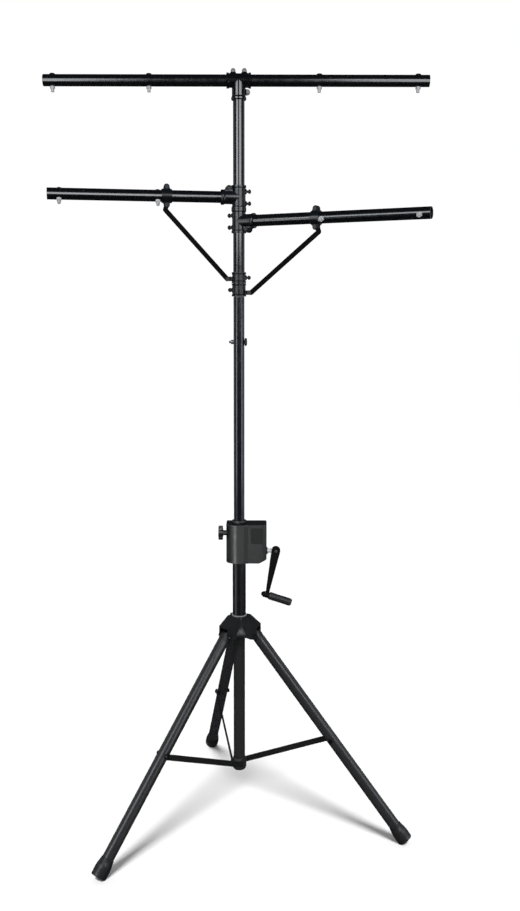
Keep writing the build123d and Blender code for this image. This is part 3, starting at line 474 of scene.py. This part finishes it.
# ---------------------------------------------------------------- floor
def floor():
    bm = bmesh.new()
    bmesh.ops.create_grid(bm, x_segments=8, y_segments=8, size=120.0)
    me = bpy.data.meshes.new("floor")
    bm.to_mesh(me)
    bm.free()
    o = bpy.data.objects.new("floor", me)
    scene.collection.objects.link(o)
    m = Mat("floor_pale", (0.90, 0.90, 0.90), 0.8, spec=0.1)
    m.tint(m.remap(m.noise(size=1.2, detail=3), 0.3, 0.7, 0.0, 0.25), (0.88, 0.88, 0.88))
    me.materials.append(m.m)
    o.visible_glossy = False
    return o


floor()

# ---------------------------------------------------------------- light
# white all round for the eye and for soft light, dimmer where it would only wash out the gloss
world = bpy.data.worlds.new("studio")
scene.world = world
world.use_nodes = True
wt = world.node_tree
bg = wt.nodes["Background"]
bg.inputs["Color"].default_value = (1.0, 1.0, 1.0, 1)
bg.inputs["Strength"].default_value = 1.02
dim = wt.nodes.new("ShaderNodeBackground")
dim.inputs["Color"].default_value = (0.82, 0.9, 1.0, 1)
dim.inputs["Strength"].default_value = 0.022
fill = wt.nodes.new("ShaderNodeBackground")
fill.inputs["Color"].default_value = (1, 1, 1, 1)
fill.inputs["Strength"].default_value = 0.31
lp = wt.nodes.new("ShaderNodeLightPath")
mx = wt.nodes.new("ShaderNodeMixShader")
mx2 = wt.nodes.new("ShaderNodeMixShader")
wt.links.new(lp.outputs["Is Camera Ray"], mx.inputs[0])
wt.links.new(fill.outputs[0], mx.inputs[1])
wt.links.new(bg.outputs[0], mx.inputs[2])
wt.links.new(lp.outputs["Is Glossy Ray"], mx2.inputs[0])
wt.links.new(mx.outputs[0], mx2.inputs[1])
wt.links.new(dim.outputs[0], mx2.inputs[2])
wt.links.new(mx2.outputs[0], wt.nodes["World Output"].inputs[0])


def area(name, loc, target, size, power, colour=(1, 1, 1)):
    l = bpy.data.lights.new(name, "AREA")
    l.shape = "RECTANGLE"
    l.size, l.size_y = size
    l.energy = power
    l.color = colour
    o = bpy.data.objects.new(name, l)
    scene.collection.objects.link(o)
    o.location = loc
    o.rotation_mode = "QUATERNION"
    o.rotation_quaternion = (Vector(target) - Vector(loc)).to_track_quat("-Z", "Y")
    return o


def gloss_only(o):
    """A softbox that shows in the paint but adds nothing to the floor."""
    o.visible_diffuse = False
    o.visible_camera = False
    return o


def softbox(name, loc, target, size, radiance, colour):
    return gloss_only(area(name, loc, target, size, radiance * math.pi * size[0] * size[1], colour))


def only(light, *starts):
    """Links a softbox to some pieces."""
    c = bpy.data.collections.new(light.name + "_on")
    for o in list(scene.collection.all_objects):
        if o.type == "MESH" and o.name.startswith(starts):
            c.objects.link(o)
    light.light_linking.receiver_collection = c


softbox("high_left", (-2.35, -3.1, 2.84), (-2.35, 0, 2.84), (3.1, 1.32), 9.8, (0.90, 0.95, 1.0))
softbox("high_right", (2.2, -3.1, 2.84), (2.2, 0, 2.84), (3.4, 1.32), 9.4, (0.92, 0.96, 1.0))
softbox("low_left", (-2.6, -2.0, 1.2), (0, 0, 1.2), (0.9, 1.3), 6.5, (0.95, 0.97, 1.0))
softbox("low_right", (2.9, -1.3, 1.2), (0, 0, 1.2), (0.8, 1.3), 7.0, (0.86, 0.93, 1.0))
only(softbox("bar_left", (-2.5, -3.1, 1.45), (-2.5, 0, 1.45), (3.0, 1.3), 10.5, (0.94, 0.97, 1.0)), "crossbar")
only(softbox("bar_right", (2.3, -3.1, 1.45), (2.3, 0, 1.45), (3.2, 1.3), 8.5, (0.94, 0.97, 1.0)), "crossbar")
only(softbox("arm_left", (-0.1, -3.1, 2.3), (-0.1, 0, 2.3), (1.5, 1.7), 10.0, (0.94, 0.97, 1.0)), "left_arm_tube")
only(softbox("arm_right", (2.2, -3.1, 1.45), (2.2, 0, 1.45), (3.4, 1.2), 8.5, (0.94, 0.97, 1.0)), "right_arm_tube")
only(softbox("box_key", (-1.15, -2.9, 0.25), (0, 0, 0.95), (0.9, 0.9), 19.0, (1.0, 1.0, 1.0)), "gearbox_housing", "box_bush")
only(softbox("column_left", (-3.2, -1.6, 0.1), (0, 0, 0.8), (1.4, 1.6), 3.2, (0.95, 0.97, 1.0)), "main_tube")
only(softbox("column_right", (1.9, -2.6, 0.1), (0, 0, 0.8), (0.5, 1.6), 1.6, (0.9, 0.95, 1.0)), "main_tube")
only(softbox("hub_key", (0.35, -1.5, 2.9), (0, 0, 0.7), (1.0, 1.0), 30.0, (1.0, 1.0, 1.0)), "hub_web")
only(softbox("knob_key", (-0.3, -0.9, 3.2), (0, 0, 1.0), (1.0, 1.2), 14.0, (1.0, 1.0, 1.0)), "lock_knob")
only(softbox("box_right", (1.9, -3.0, 0.25), (0, 0, 0.95), (0.5, 0.7), 4.5, (1.0, 1.0, 1.0)), "gearbox_housing")
only(softbox("leg_key", (1.9, -2.3, 0.8), (-0.2, -0.15, 0.5), (0.7, 1.3), 7.0, (0.95, 0.97, 1.0)), "leg_left")
softbox("side_left", (-3.0, 1.0, 1.8), (0, 0, 1.8), (2.6, 3.2), 0.55, (0.92, 0.96, 1.0))
softbox("side_right", (3.0, 1.0, 1.8), (0, 0, 1.8), (2.6, 3.2), 0.75, (0.92, 0.96, 1.0))

sl = bpy.data.lights.new("sun", "SUN")
sl.energy = 3.1
sl.angle = math.radians(13)
so = bpy.data.objects.new("sun", sl)
scene.collection.objects.link(so)
so.rotation_mode = "QUATERNION"
so.rotation_quaternion = Vector((0.0, 0.44, -0.9)).to_track_quat("-Z", "Y")
so.visible_glossy = False

# ---------------------------------------------------------------- camera
cam = bpy.data.cameras.new("camera")
cam.sensor_width = 36.0
cam.lens = 964.09 * 36.0 / 911.0
cam.clip_start, cam.clip_end = 0.05, 100.0
cam_o = bpy.data.objects.new("camera", cam)
scene.collection.objects.link(cam_o)
th, ro = math.radians(8.144344), math.radians(0.1197793)
fwd = Vector((0, math.cos(th), -math.sin(th)))
right = Vector((1, 0, 0))
up = right.cross(fwd)
cx = right * math.cos(ro) + up * math.sin(ro)
cy = -right * math.sin(ro) + up * math.cos(ro)
cam_o.matrix_world = Matrix((
    (cx.x, cy.x, -fwd.x, 0.0685587),
    (cx.y, cy.y, -fwd.y, -3.1312309),
    (cx.z, cy.z, -fwd.z, 1.7136829),
    (0, 0, 0, 1)))
scene.camera = cam_o
scene.view_settings.view_transform = "Standard"
